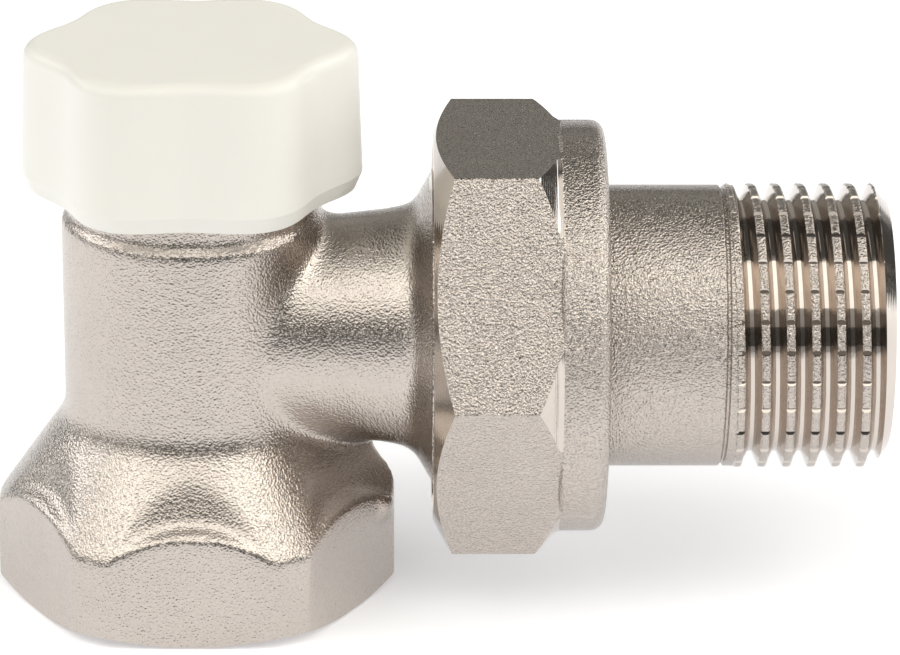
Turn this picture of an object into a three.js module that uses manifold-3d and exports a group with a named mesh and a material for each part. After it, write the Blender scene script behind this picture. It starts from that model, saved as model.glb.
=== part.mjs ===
// An angle lockshield valve: a forged body with an inlet socket, a union tail held by a nut,
// a regulating spindle with its disc, its seals and its bonnet, and a screw cap over them.
// Millimetres. The origin is the centre of the inlet end face, +Z runs up the barrel to the cap
// and +X runs along the branch to the tail.
import * as THREE from "three";
import { mergeVertices } from "three/addons/utils/BufferGeometryUtils.js";
import Module from "manifold-3d";

const wasm = await Module();
wasm.setup();

// ---- driving dimensions -------------------------------------------------------------------

const TURN = 2 * Math.PI;
const ROUND_SIDES = 32; // sides of a turned surface
const SMALL_SIDES = 20; // sides of a small turned surface
const FIT = 0.3; // gap between two pieces that touch
const SEAL_FIT = 0.15; // gap between a ring seal and the groove round it
const THREAD_FIT = 0.25; // radial gap between a thread and its mate
const CORE_INSET = 0.5; // how far inside a thread's roots the plain core under it lies

// Pipe thread G 1/2 (ISO 228)
const HALF_INCH = { major: 20.955 / 2, minor: 18.631 / 2, pitch: 1.814, sides: 20 };
// Pipe thread G 3/4 (ISO 228)
const UNION_THREAD = { major: 26.441 / 2, minor: 24.117 / 2, pitch: 1.814, sides: 20 };
const CAP_THREAD = { major: 8, minor: 7.1, pitch: 1.5, sides: 16 };
const SPINDLE_THREAD = { major: 4.5, minor: 3.9, pitch: 1, sides: 16 };

// Body
const HEX_FLATS = 27;
const HEX_CORNER = 14.8; // from the axis to the cut corner facet
const END_RADIUS = 13.6; // turned edge of the inlet end face
const END_CHAMFER = 0.7;
const CORNER_TOP = 6.45; // height of the hexagon at its corners
const CONE_TOP = 13.9;
const BARREL_RADIUS = 9.65;
const BARREL_TOP = 28.9;
const RIM = 0.45;
const NECK_RADIUS = 9.1;
const NECK_TOP = 31.2;
const SOCKET_DEPTH = 10.5;
const SOCKET_RELIEF = 0.8;
const SEAT_BORE = 5.2;
const SEAT_RING = 6.2;
const CHAMBER_RADIUS = 7.4;
const CHAMBER_FLOOR = 13.6;
const SEAT_TOP = 14.4;
const BONNET_BORE = 8;
const BONNET_BORE_FLOOR = 26.3;

// Branch
const BRANCH_HEIGHT = 20;
const BRANCH_RADIUS = 8.3;
const BRANCH_WAIST = 8.8;
const BRANCH_BORE = 6.2;
const FLARE_START = 14.6;
const FLARE_RADIUS = 12.2;
const FLARE_END = 17.4;
const BRANCH_END = 25;
const BRANCH_THREAD_START = 18.4;
const SPIGOT_BORE = 8.05;
const SPIGOT_BORE_START = 21;
const WEB_TOP = 9.2; // outer corner of the web under the branch
const WEB_WIDTH = 10;

// Union nut
const NUT_FLATS = 29.5;
const NUT_STOP_ANGLE = THREE.MathUtils.degToRad(1.6); // where its corners stand when it is tight
const NUT_START = 17.6;
const NUT_HEX_END = 25.5;
const NUT_COLLAR_START = 26.9;
const NUT_END = 30.2;
const NUT_COLLAR_RADIUS = 15.2;
const NUT_CHAMFER = 1.1;
const NUT_THREAD_END = 25.3;
const NUT_SHOULDER = 28;

// Union tail
const TAIL_END = 51;
const TAIL_RADIUS = 10.4;
const TAIL_FLANGE_RADIUS = 12.1;
const TAIL_BORE = 7.75;
const SPIGOT_RADIUS = 7.6;
const SPIGOT_TIP = 21.4;
const SPIGOT_BORE_RADIUS = 5.8;
const UNDERCUT_START = 39.5;
const TAIL_THREAD_START = 40.4;
const TAIL_CREST = 40.9; // place of the first crest over the top of the tail

// Bonnet and its gland
const BONNET_SHANK = 7.7;
const BONNET_BOTTOM = 25.4;
const BONNET_FLANGE_RADIUS = 8.9;
const BONNET_FLANGE_TOP = 32.8;
const BONNET_TOP = 38.5;
const GLAND_BORE = 5.4;
const GLAND_FLOOR = 31.8;
const BONNET_GROOVE = { start: 28.5, end: 29.9, radius: 6.7 };

// Spindle
const STEM_RADIUS = 3.9;
const STEM_TOP = 36.4;
const STEM_THREAD_TOP = 28.6;
const STEM_THREAD_BOTTOM = 22.7;
const STEM_NECK = 2.1;
const FOOT_RADIUS = 3.1;
const FOOT_BOTTOM = 18.6;
const FOOT_TOP = 19.7;
const KEY_FLATS = 5;
const KEY_DEPTH = 5;

// Disc
const DISC_RADIUS = 6.95;
const WASHER_RADIUS = 6.4;
const WASHER_BOTTOM = SEAT_TOP + FIT;
const WASHER_TOP = 16.4;
const DISC_PLATE_TOP = 18;
const HUB_RADIUS = 5;
const HUB_BORE = 3.5;
const HUB_FLOOR = FOOT_BOTTOM - FIT;
const HUB_TOP = 21.4;
const SNAP_RING = { inner: 2.5, outer: 3.85, start: 20, end: 20.7 };
const SCREW_RADIUS = 1.5;
const SCREW_HEAD = 2.9;
const SCREW_TIP = 17.3;

// Cap
const CAP_BOTTOM = 31;
const CAP_TOP = 42;
const CAP_ROOF = 40;
const CAP_MEAN_RADIUS = 11.7;
const CAP_LOBE_DEPTH = 0.7;
const CAP_LOBES = 6;
const CAP_SKIRT_BORE = 9.4;
const CAP_SHOULDER = 34.4;
const CAP_THREAD_TOP = 38.9;
const CAP_TOP_BORE = 6.9;
const CAP_EDGE = 0.8;
const CAP_DRAFT = 0.25; // how much narrower the cap is at its top edge

// ---- shapes -------------------------------------------------------------------------------

// A closed geometry as a manifold-3d solid.
function solidOf(geometry) {
  geometry.deleteAttribute("normal");
  geometry.deleteAttribute("uv");
  const merged = mergeVertices(geometry, 1e-4);
  const solid = new wasm.Manifold(
    new wasm.Mesh({
      numProp: 3,
      vertProperties: new Float32Array(merged.attributes.position.array),
      triVerts: new Uint32Array(merged.index.array),
    }),
  );
  if (solid.volume() <= 0) {
    throw new Error("a geometry faces inwards");
  }
  return solid;
}

// A surface turned about +Z. The outline is a list of [radius, height], running upwards.
function turned(outline, sides = ROUND_SIDES) {
  const points = outline.map(([radius, height]) => new THREE.Vector2(radius, height));
  const geometry = new THREE.LatheGeometry(points, sides);
  geometry.rotateX(Math.PI / 2);
  return solidOf(geometry);
}

function rod(radius, bottom, top, sides = ROUND_SIDES) {
  return turned([[0, bottom], [radius, bottom], [radius, top], [0, top]], sides);
}

function tube(inner, outer, bottom, top, sides = ROUND_SIDES) {
  const outline = [[inner, bottom], [outer, bottom], [outer, top], [inner, top], [inner, bottom]];
  return turned(outline, sides);
}

// A ring with a round section of the given radius, centred at a height on the axis.
function ringSeal(radius, section, height) {
  const corners = 8;
  const outline = [];
  for (let k = 0; k <= corners; k++) {
    const angle = (k / corners) * TURN;
    outline.push([radius + section * Math.cos(angle), height + section * Math.sin(angle)]);
  }
  outline[corners] = outline[0];
  return turned(outline, SMALL_SIDES);
}

// An upright prism on a polygon of [x, y] corners.
function prism(corners, bottom, top) {
  const shape = new THREE.Shape(corners.map(([x, y]) => new THREE.Vector2(x, y)));
  const geometry = new THREE.ExtrudeGeometry(shape, { depth: top - bottom, bevelEnabled: false });
  geometry.translate(0, 0, bottom);
  return solidOf(geometry);
}

function hexagon(flats, bottom, top, firstCorner = 0) {
  const radius = flats / Math.sqrt(3);
  const corners = [];
  for (let k = 0; k < 6; k++) {
    const angle = firstCorner + (k * TURN) / 6;
    corners.push([radius * Math.cos(angle), radius * Math.sin(angle)]);
  }
  return prism(corners, bottom, top);
}

// A right-hand thread about +Z as a closed rod, with a crest at height `crest` on the +X side.
// It runs past `bottom` and `top`, and is cut there by the outline it is met with.
function helixRod(thread, crest, bottom, top, extra = 0) {
  const { pitch, sides } = thread;
  const major = thread.major + extra;
  const minor = thread.minor + extra;
  const flat = 0.14; // share of the pitch on each crest and each root
  const section = [
    [minor, -0.5 - flat / 2],
    [minor, -0.5 + flat / 2],
    [major, -flat / 2],
    [major, flat / 2],
  ];
  const before = Math.ceil((crest - bottom) / pitch) + 2;
  const turns = before + Math.ceil((top - crest) / pitch) + 2;
  const steps = turns * sides;
  const positions = [];
  for (let i = 0; i <= steps + sides; i++) {
    const angle = (i / sides) * TURN;
    for (const [radius, share] of section) {
      const height = crest + pitch * (i / sides - before + share);
      positions.push(radius * Math.cos(angle), radius * Math.sin(angle), height);
    }
  }
  const count = section.length;
  const at = (i, j) => (j < count ? i * count + j : (i + sides) * count);
  const triangles = [];
  for (let i = 0; i < steps; i++) {
    for (let j = 0; j < count; j++) {
      triangles.push(at(i, j), at(i + 1, j), at(i + 1, j + 1));
      triangles.push(at(i, j), at(i + 1, j + 1), at(i, j + 1));
    }
  }
  const lowCentre = positions.length / 3;
  const highCentre = lowCentre + 1;
  positions.push(0, 0, crest - pitch * (before + 1));
  positions.push(0, 0, crest + pitch * (turns - before + 1));
  for (let k = 0; k < sides; k++) {
    triangles.push(lowCentre, at(k + 1, 0), at(k, 0));
    triangles.push(highCentre, at(steps + k, 0), at(steps + k + 1, 0));
  }
  for (let j = 0; j < count; j++) {
    triangles.push(lowCentre, at(0, j), at(0, j + 1));
    triangles.push(highCentre, at(steps, j + 1), at(steps, j));
  }
  const geometry = new THREE.BufferGeometry();
  geometry.setAttribute("position", new THREE.Float32BufferAttribute(positions, 3));
  geometry.setIndex(triangles);
  return solidOf(geometry);
}

// A threaded length with flat ends and a chamfer at each.
function threadedRod(thread, crest, bottom, top) {
  const outer = thread.major + 1;
  const low = thread.minor - 0.1;
  const reach = outer - low;
  const cut = turned([
    [0, bottom],
    [low, bottom],
    [outer, bottom + reach],
    [outer, top - reach],
    [low, top],
    [0, top],
  ], thread.sides);
  return helixRod(thread, crest, bottom, top).intersect(cut);
}

// The cutter for an internal thread, a little larger than its mate all round.
function threadCutter(thread, crest, bottom, top) {
  const larger = helixRod(thread, crest, bottom, top, THREAD_FIT);
  return larger.intersect(rod(thread.major + 1, bottom, top, thread.sides));
}

// From a solid made about +Z to the same solid about the branch axis.
function alongBranch(solid) {
  return solid.rotate([0, 90, 0]).translate([0, 0, BRANCH_HEIGHT]);
}

// ---- pieces -------------------------------------------------------------------------------

function bodyForging() {
  const flatCut = hexagon(HEX_FLATS, 0, NECK_TOP);
  const cornerCut = hexagon(2 * HEX_CORNER, 0, NECK_TOP, TURN / 12);
  const outline = turned([
    [0, 0],
    [END_RADIUS, 0],
    [HEX_CORNER + 0.2, END_CHAMFER],
    [HEX_CORNER + 0.2, CORNER_TOP - 0.3],
    [BARREL_RADIUS, CONE_TOP],
    [BARREL_RADIUS, BARREL_TOP - RIM],
    [BARREL_RADIUS - RIM, BARREL_TOP],
    [NECK_RADIUS, BARREL_TOP + 0.1],
    [NECK_RADIUS, NECK_TOP],
    [0, NECK_TOP],
  ]);
  return outline.intersect(flatCut).intersect(cornerCut);
}

function branchForging() {
  const flare = [];
  const flareSteps = 5;
  for (let k = 0; k <= flareSteps; k++) {
    const share = k / flareSteps;
    const rise = 1 - Math.sqrt(1 - share * share * 0.96);
    const along = FLARE_START + (FLARE_END - FLARE_START) * share;
    flare.push([BRANCH_WAIST + ((FLARE_RADIUS - BRANCH_WAIST) * rise) / 0.8, along]);
  }
  const outline = turned([
    [0, 0],
    [BRANCH_RADIUS, 0],
    [BRANCH_RADIUS, BARREL_RADIUS],
    ...flare,
    [FLARE_RADIUS, BRANCH_THREAD_START + FIT],
    [UNION_THREAD.minor - CORE_INSET, BRANCH_THREAD_START + FIT],
    [UNION_THREAD.minor - CORE_INSET, BRANCH_END],
    [0, BRANCH_END],
  ]);
  const start = BRANCH_THREAD_START;
  const thread = threadedRod(UNION_THREAD, start, start, BRANCH_END - FIT);
  return alongBranch(outline.add(thread));
}

// The web that joins the foot of the barrel to the underside of the branch.
function branchWeb() {
  const profile = [
    [CHAMBER_RADIUS, CORNER_TOP],
    [HEX_CORNER, CORNER_TOP],
    [HEX_CORNER, WEB_TOP],
    [HEX_CORNER - 0.6, WEB_TOP + 1.4],
    [FLARE_START, BRANCH_HEIGHT - BRANCH_RADIUS + 1],
    [CHAMBER_RADIUS, BRANCH_HEIGHT - BRANCH_RADIUS + 1],
  ];
  // The profile is drawn in X and Z, so its prism is stood up about X.
  return prism(profile, -WEB_WIDTH / 2, WEB_WIDTH / 2).rotate([90, 0, 0]);
}

function valveBody() {
  const innerRoof = CHAMBER_FLOOR - 2;
  const passages = [
    threadCutter(HALF_INCH, 0, -1, SOCKET_DEPTH),
    turned([
      [0, -1],
      [HALF_INCH.major + 1.3, -1],
      [HALF_INCH.minor - CORE_INSET, 1.8],
      [HALF_INCH.minor - CORE_INSET, SOCKET_DEPTH - 0.5],
      [HALF_INCH.minor + 0.1, SOCKET_DEPTH - 0.1],
      [HALF_INCH.minor + 0.1, SOCKET_DEPTH + SOCKET_RELIEF - 0.3],
      [SEAT_BORE, innerRoof],
      [0, innerRoof],
    ]),
    rod(SEAT_BORE, SOCKET_DEPTH, SEAT_TOP + 1),
    tube(SEAT_RING, CHAMBER_RADIUS, CHAMBER_FLOOR, SEAT_TOP + 0.1),
    rod(CHAMBER_RADIUS, SEAT_TOP, BONNET_BORE_FLOOR + 0.1),
    rod(BONNET_BORE, BONNET_BORE_FLOOR, NECK_TOP + 1),
    alongBranch(rod(BRANCH_BORE, 0, BRANCH_END + 1)),
    alongBranch(rod(SPIGOT_BORE, SPIGOT_BORE_START, BRANCH_END + 1)),
  ];
  let body = bodyForging().add(branchForging()).add(branchWeb());
  for (const passage of passages) {
    body = body.subtract(passage);
  }
  return body;
}

function unionNut() {
  const corner = NUT_FLATS / Math.sqrt(3);
  // Two corners of this hexagon point close to the front and the back of the valve.
  const hex = hexagon(NUT_FLATS, NUT_START, NUT_COLLAR_START, TURN / 4 + NUT_STOP_ANGLE);
  const shaping = turned([
    [0, NUT_START],
    [corner - 1.8, NUT_START],
    [corner + 0.1, NUT_START + NUT_CHAMFER],
    [corner + 0.1, NUT_HEX_END - 0.1],
    [corner - 1.1, NUT_HEX_END + 0.7],
    [NUT_COLLAR_RADIUS, NUT_COLLAR_START],
    [0, NUT_COLLAR_START],
  ]);
  const collar = turned([
    [0, NUT_HEX_END + 0.7],
    [NUT_COLLAR_RADIUS - 0.9, NUT_HEX_END + 0.7],
    [NUT_COLLAR_RADIUS, NUT_COLLAR_START - 0.2],
    [NUT_COLLAR_RADIUS, NUT_END - 0.9],
    [NUT_COLLAR_RADIUS - 0.25, NUT_END - 0.3],
    [NUT_COLLAR_RADIUS - 0.9, NUT_END],
    [0, NUT_END],
  ]);
  const hollow = turned([
    [0, NUT_START - 1],
    [UNION_THREAD.major + 1.3, NUT_START - 1],
    [UNION_THREAD.minor - CORE_INSET, NUT_START + 2.2],
    [UNION_THREAD.minor - CORE_INSET, NUT_THREAD_END - 0.1],
    [TAIL_FLANGE_RADIUS + 0.4, NUT_THREAD_END - 0.1],
    [TAIL_FLANGE_RADIUS + 0.4, NUT_SHOULDER],
    [TAIL_RADIUS + FIT, NUT_SHOULDER],
    [TAIL_RADIUS + FIT, NUT_END + 1],
    [0, NUT_END + 1],
  ]);
  const thread = threadCutter(UNION_THREAD, BRANCH_THREAD_START, NUT_START - 1, NUT_THREAD_END);
  const nut = hex.intersect(shaping).add(collar).subtract(hollow).subtract(thread);
  return alongBranch(nut);
}

function unionTail() {
  const flangeStart = BRANCH_END + FIT;
  const flangeEnd = NUT_SHOULDER - FIT;
  const grooveStart = SPIGOT_TIP + 1.1;
  const grooveEnd = grooveStart + 1.4;
  const outline = turned([
    [0, SPIGOT_TIP],
    [SPIGOT_RADIUS - 0.5, SPIGOT_TIP],
    [SPIGOT_RADIUS, SPIGOT_TIP + 0.5],
    [SPIGOT_RADIUS, grooveStart],
    [SPIGOT_RADIUS - 0.85, grooveStart],
    [SPIGOT_RADIUS - 0.85, grooveEnd],
    [SPIGOT_RADIUS, grooveEnd],
    [SPIGOT_RADIUS, flangeStart],
    [TAIL_FLANGE_RADIUS, flangeStart],
    [TAIL_FLANGE_RADIUS, flangeEnd],
    [TAIL_RADIUS, flangeEnd],
    [TAIL_RADIUS, UNDERCUT_START],
    [HALF_INCH.minor, UNDERCUT_START + 0.3],
    [HALF_INCH.minor, TAIL_THREAD_START + 0.1],
    [HALF_INCH.minor - CORE_INSET, TAIL_THREAD_START + 0.1],
    [HALF_INCH.minor - CORE_INSET, TAIL_END],
    [0, TAIL_END],
  ]);
  const bore = turned([
    [0, SPIGOT_TIP - 1],
    [SPIGOT_BORE_RADIUS, SPIGOT_TIP - 1],
    [SPIGOT_BORE_RADIUS, flangeEnd],
    [TAIL_BORE, flangeEnd + 2],
    [TAIL_BORE, TAIL_END + 1],
    [0, TAIL_END + 1],
  ]);
  // The rod's +X side ends up at the bottom of the tail, half a turn from the top crest.
  const crest = TAIL_CREST + HALF_INCH.pitch / 2;
  const thread = threadedRod(HALF_INCH, crest, TAIL_THREAD_START, TAIL_END);
  return alongBranch(outline.add(thread).subtract(bore));
}

function tailSeal() {
  const middle = SPIGOT_TIP + 1.8;
  return alongBranch(ringSeal(SPIGOT_BORE - SEAL_FIT - 0.5, 0.5, middle));
}

function bonnet() {
  const { start, end, radius } = BONNET_GROOVE;
  const flangeBottom = NECK_TOP + FIT;
  const outline = turned([
    [0, BONNET_BOTTOM],
    [CHAMBER_RADIUS - FIT, BONNET_BOTTOM],
    [CHAMBER_RADIUS - FIT, BONNET_BORE_FLOOR + FIT],
    [BONNET_SHANK, BONNET_BORE_FLOOR + FIT],
    [BONNET_SHANK, start],
    [radius, start],
    [radius, end],
    [BONNET_SHANK, end],
    [BONNET_SHANK, flangeBottom],
    [BONNET_FLANGE_RADIUS, flangeBottom],
    [BONNET_FLANGE_RADIUS, BONNET_FLANGE_TOP],
    [CAP_THREAD.minor, BONNET_FLANGE_TOP],
    [CAP_THREAD.minor, BONNET_FLANGE_TOP + 0.6],
    [CAP_THREAD.minor - CORE_INSET, BONNET_FLANGE_TOP + 0.6],
    [CAP_THREAD.minor - CORE_INSET, BONNET_TOP],
    [0, BONNET_TOP],
  ]);
  const thread = threadedRod(CAP_THREAD, CAP_SHOULDER, BONNET_FLANGE_TOP + 0.5, BONNET_TOP);
  const bore = turned([
    [0, BONNET_BOTTOM - 1],
    [SPINDLE_THREAD.minor - CORE_INSET, BONNET_BOTTOM - 1],
    [SPINDLE_THREAD.minor - CORE_INSET, GLAND_FLOOR],
    [GLAND_BORE, GLAND_FLOOR],
    [GLAND_BORE, BONNET_TOP + 1],
    [0, BONNET_TOP + 1],
  ], SMALL_SIDES);
  const innerThread = threadCutter(
    SPINDLE_THREAD,
    STEM_THREAD_BOTTOM,
    BONNET_BOTTOM - 1,
    GLAND_FLOOR + 0.1,
  );
  return outline.add(thread).subtract(bore).subtract(innerThread);
}

function bonnetSeal() {
  const middle = (BONNET_GROOVE.start + BONNET_GROOVE.end) / 2;
  return ringSeal(BONNET_BORE - SEAL_FIT - 0.5, 0.5, middle);
}

function spindle() {
  const outline = turned([
    [0, FOOT_BOTTOM],
    [FOOT_RADIUS, FOOT_BOTTOM],
    [FOOT_RADIUS, FOOT_TOP],
    [STEM_NECK, FOOT_TOP],
    [STEM_NECK, STEM_THREAD_BOTTOM + 0.2],
    [SPINDLE_THREAD.minor - CORE_INSET, STEM_THREAD_BOTTOM + 0.2],
    [SPINDLE_THREAD.minor - CORE_INSET, STEM_THREAD_TOP - 0.1],
    [STEM_RADIUS, STEM_THREAD_TOP - 0.1],
    [STEM_RADIUS, STEM_TOP - 0.4],
    [STEM_RADIUS - 0.4, STEM_TOP],
    [0, STEM_TOP],
  ], SMALL_SIDES);
  const start = STEM_THREAD_BOTTOM;
  const thread = threadedRod(SPINDLE_THREAD, start, start, STEM_THREAD_TOP);
  const keyHole = hexagon(KEY_FLATS, STEM_TOP - KEY_DEPTH, STEM_TOP + 1);
  return outline.add(thread).subtract(keyHole);
}

// The stack of seals between the floor of the bonnet's bore and the gland nut.
const SEAL_SECTION = 0.6;
const STEM_SEAL = STEM_RADIUS + SEAL_FIT + SEAL_SECTION;
const LOWER_SEAL = GLAND_FLOOR + SEAL_FIT + SEAL_SECTION;
const SPACER_BOTTOM = LOWER_SEAL + SEAL_SECTION + SEAL_FIT;
const SPACER_TOP = SPACER_BOTTOM + 0.7;
const UPPER_SEAL = SPACER_TOP + SEAL_FIT + SEAL_SECTION;
const GLAND_WASHER_BOTTOM = UPPER_SEAL + SEAL_SECTION + SEAL_FIT;
const GLAND_WASHER_TOP = GLAND_WASHER_BOTTOM + 0.5;

function stackRing(bottom, top) {
  return tube(STEM_RADIUS + 0.2, GLAND_BORE - 0.2, bottom, top, SMALL_SIDES);
}

function glandNut() {
  const ring = stackRing(GLAND_WASHER_TOP + SEAL_FIT, BONNET_TOP - 0.2);
  const slot = prism(
    [[-GLAND_BORE, -0.6], [GLAND_BORE, -0.6], [GLAND_BORE, 0.6], [-GLAND_BORE, 0.6]],
    BONNET_TOP - 1.2,
    BONNET_TOP,
  );
  return ring.subtract(slot);
}

function discHolder() {
  const outline = turned([
    [0, WASHER_TOP + FIT],
    [WASHER_RADIUS + 0.1, WASHER_TOP + FIT],
    [WASHER_RADIUS + 0.1, WASHER_BOTTOM + 0.6],
    [DISC_RADIUS, WASHER_BOTTOM + 0.6],
    [DISC_RADIUS, DISC_PLATE_TOP - 0.4],
    [DISC_RADIUS - 0.4, DISC_PLATE_TOP],
    [HUB_RADIUS, DISC_PLATE_TOP],
    [HUB_RADIUS, HUB_TOP],
    [0, HUB_TOP],
  ]);
  const socket = rod(HUB_BORE, HUB_FLOOR, HUB_TOP + 1, SMALL_SIDES);
  const ringGroove = rod(SNAP_RING.outer + 0.2, SNAP_RING.start - 0.2, SNAP_RING.end + 0.2);
  const screwHole = rod(SCREW_RADIUS + 0.2, WASHER_TOP, SCREW_TIP + 0.3, SMALL_SIDES);
  return outline.subtract(socket).subtract(ringGroove).subtract(screwHole);
}

// An open ring: a little of it is missing, so that it can be squeezed into its groove.
function discSnapRing() {
  const { inner, outer, start, end } = SNAP_RING;
  const gap = prism([[0, -0.7], [outer + 1, -0.7], [outer + 1, 0.7], [0, 0.7]], start - 1, end + 1);
  return tube(inner, outer, start, end, SMALL_SIDES).subtract(gap);
}

function seatWasher() {
  return tube(SCREW_RADIUS + 0.3, WASHER_RADIUS - 0.2, WASHER_BOTTOM, WASHER_TOP);
}

function washerScrew() {
  const headTop = WASHER_BOTTOM - 0.2;
  const headBottom = headTop - 1.3;
  const outline = turned([
    [0, headBottom],
    [SCREW_HEAD - 0.4, headBottom],
    [SCREW_HEAD, headBottom + 0.4],
    [SCREW_HEAD, headTop],
    [SCREW_RADIUS, headTop],
    [SCREW_RADIUS, SCREW_TIP - 0.3],
    [SCREW_RADIUS - 0.3, SCREW_TIP],
    [0, SCREW_TIP],
  ], SMALL_SIDES);
  const slot = prism(
    [[-SCREW_HEAD, -0.4], [SCREW_HEAD, -0.4], [SCREW_HEAD, 0.4], [-SCREW_HEAD, 0.4]],
    headBottom - 1,
    headBottom + 0.7,
  );
  return outline.subtract(slot);
}

// The cap's outline has six broad lobes, one of them on each side along X.
function capOutline(inset) {
  const steps = 36;
  const corners = [];
  for (let k = 0; k < steps; k++) {
    const angle = (k / steps) * TURN;
    const radius = CAP_MEAN_RADIUS - inset + CAP_LOBE_DEPTH * Math.cos(CAP_LOBES * angle);
    corners.push([radius * Math.cos(angle), radius * Math.sin(angle)]);
  }
  return corners;
}

// A closed skin through outlines of the same number of corners, from the lowest up.
function lofted(levels) {
  const count = levels[0].corners.length;
  const positions = [];
  for (const { corners, height } of levels) {
    for (const [x, y] of corners) {
      positions.push(x, y, height);
    }
  }
  const low = levels[0].height;
  const high = levels[levels.length - 1].height;
  positions.push(0, 0, low, 0, 0, high);
  const lowCentre = levels.length * count;
  const topRing = (levels.length - 1) * count;
  const triangles = [];
  for (let k = 0; k < count; k++) {
    const next = (k + 1) % count;
    for (let level = 0; level < levels.length - 1; level++) {
      const ring = level * count;
      triangles.push(ring + k, ring + next, ring + count + next);
      triangles.push(ring + k, ring + count + next, ring + count + k);
    }
    triangles.push(lowCentre, next, k);
    triangles.push(lowCentre + 1, topRing + k, topRing + next);
  }
  const geometry = new THREE.BufferGeometry();
  geometry.setAttribute("position", new THREE.Float32BufferAttribute(positions, 3));
  geometry.setIndex(triangles);
  return solidOf(geometry);
}

function protectiveCap() {
  const shell = lofted([
    { corners: capOutline(0), height: CAP_BOTTOM },
    { corners: capOutline(CAP_DRAFT), height: CAP_TOP - CAP_EDGE },
    { corners: capOutline(CAP_DRAFT + CAP_EDGE * 0.3), height: CAP_TOP - CAP_EDGE * 0.3 },
    { corners: capOutline(CAP_DRAFT + CAP_EDGE), height: CAP_TOP },
  ]);
  const hollow = turned([
    [0, CAP_BOTTOM - 1],
    [CAP_SKIRT_BORE, CAP_BOTTOM - 1],
    [CAP_SKIRT_BORE, CAP_SHOULDER],
    [CAP_TOP_BORE, CAP_SHOULDER],
    [CAP_TOP_BORE, CAP_ROOF],
    [0, CAP_ROOF],
  ]);
  const thread = threadCutter(CAP_THREAD, CAP_SHOULDER, CAP_SHOULDER - 1, CAP_THREAD_TOP);
  return shell.subtract(hollow).subtract(thread);
}

function capSeal() {
  const inner = CAP_THREAD.major + 0.25;
  return tube(inner, CAP_SKIRT_BORE - 0.2, BONNET_FLANGE_TOP + FIT, CAP_SHOULDER - FIT);
}

// ---- materials and assembly ---------------------------------------------------------------

const satinNickel = { color: 0xb9b1a6, roughness: 0.45, metalness: 1 };
const rawBrass = { color: 0xc9a458, roughness: 0.35, metalness: 1 };
const whitePlastic = { color: 0xefebe0, roughness: 0.4, metalness: 0 };
const blackRubber = { color: 0x1d1d1f, roughness: 0.75, metalness: 0 };
const whiteFluoropolymer = { color: 0xf4f4f0, roughness: 0.5, metalness: 0 };
const springSteel = { color: 0x8d8f92, roughness: 0.3, metalness: 1 };

const pieces = [
  ["valve_body", valveBody(), satinNickel],
  ["union_nut", unionNut(), satinNickel],
  ["union_tail", unionTail(), satinNickel],
  ["tail_seal", tailSeal(), blackRubber],
  ["bonnet", bonnet(), rawBrass],
  ["bonnet_seal", bonnetSeal(), blackRubber],
  ["spindle", spindle(), rawBrass],
  ["spindle_seal_lower", ringSeal(STEM_SEAL, SEAL_SECTION, LOWER_SEAL), blackRubber],
  ["seal_spacer", stackRing(SPACER_BOTTOM, SPACER_TOP), whiteFluoropolymer],
  ["spindle_seal_upper", ringSeal(STEM_SEAL, SEAL_SECTION, UPPER_SEAL), blackRubber],
  ["gland_washer", stackRing(GLAND_WASHER_BOTTOM, GLAND_WASHER_TOP), rawBrass],
  ["gland_nut", glandNut(), rawBrass],
  ["disc_holder", discHolder(), rawBrass],
  ["disc_snap_ring", discSnapRing(), springSteel],
  ["seat_washer", seatWasher(), blackRubber],
  ["washer_screw", washerScrew(), springSteel],
  ["protective_cap", protectiveCap(), whitePlastic],
  ["cap_seal", capSeal(), blackRubber],
];

const group = new THREE.Group();
for (const [name, solid, look] of pieces) {
  const { numProp, vertProperties, triVerts } = solid.getMesh();
  const vertices = new THREE.InterleavedBuffer(vertProperties, numProp);
  const geometry = new THREE.BufferGeometry();
  geometry.setAttribute("position", new THREE.InterleavedBufferAttribute(vertices, 3, 0));
  geometry.setIndex(new THREE.BufferAttribute(triVerts, 1));
  const mesh = new THREE.Mesh(geometry, new THREE.MeshStandardMaterial(look));
  mesh.name = name;
  group.add(mesh);
}

export default group;
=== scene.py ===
"""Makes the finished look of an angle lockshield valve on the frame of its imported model.

Pieces are drawn in millimetres, so that small edges merge and bevel cleanly, and each one is
brought down to metres when it is finished. The inlet axis is Z and the branch axis is along X.
"""

import math

import bpy
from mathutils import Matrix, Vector


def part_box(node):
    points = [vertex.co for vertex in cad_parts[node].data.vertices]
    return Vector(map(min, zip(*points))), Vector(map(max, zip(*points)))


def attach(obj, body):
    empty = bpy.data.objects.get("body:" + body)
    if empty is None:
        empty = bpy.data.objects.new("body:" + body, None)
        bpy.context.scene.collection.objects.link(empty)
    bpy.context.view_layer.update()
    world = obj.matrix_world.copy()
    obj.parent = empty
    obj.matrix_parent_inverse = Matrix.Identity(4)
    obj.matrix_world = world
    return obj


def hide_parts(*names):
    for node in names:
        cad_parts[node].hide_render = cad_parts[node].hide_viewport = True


bl_info = {
    "name": "Lockshield valve",
    "version": (1, 0, 0),
    "blender": (4, 5, 0),
    "location": "3D View > Sidebar > Valve",
    "description": "Models an angle lockshield valve with its union, cap, spindle and seals",
    "category": "Object",
}

MM = 0.001
TURN = 2 * math.pi

# Shared measures in millimetres. Heights run up the barrel from the inlet face, and lengths
# run along the branch from the barrel's axis.
NECK_TOP = 31.2  # height of the rim that the bonnet's flange rests on
CHAMBER_RADIUS = 7.4
WATERWAY_RADIUS = 6.2
UNION_CREST = 18.4  # length at which the union thread starts, and where a crest stands
FLANGE_FRONT = 25.3
FLANGE_BACK = 27.7
CAP_CREST = 34.4  # height of a crest of the cap's thread, and of the step in the cap
STEM_CREST = 22.7  # height of a crest of the spindle's thread
STEM_HOLE = 4.1  # radius of the holes that the spindle's head turns in

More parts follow.
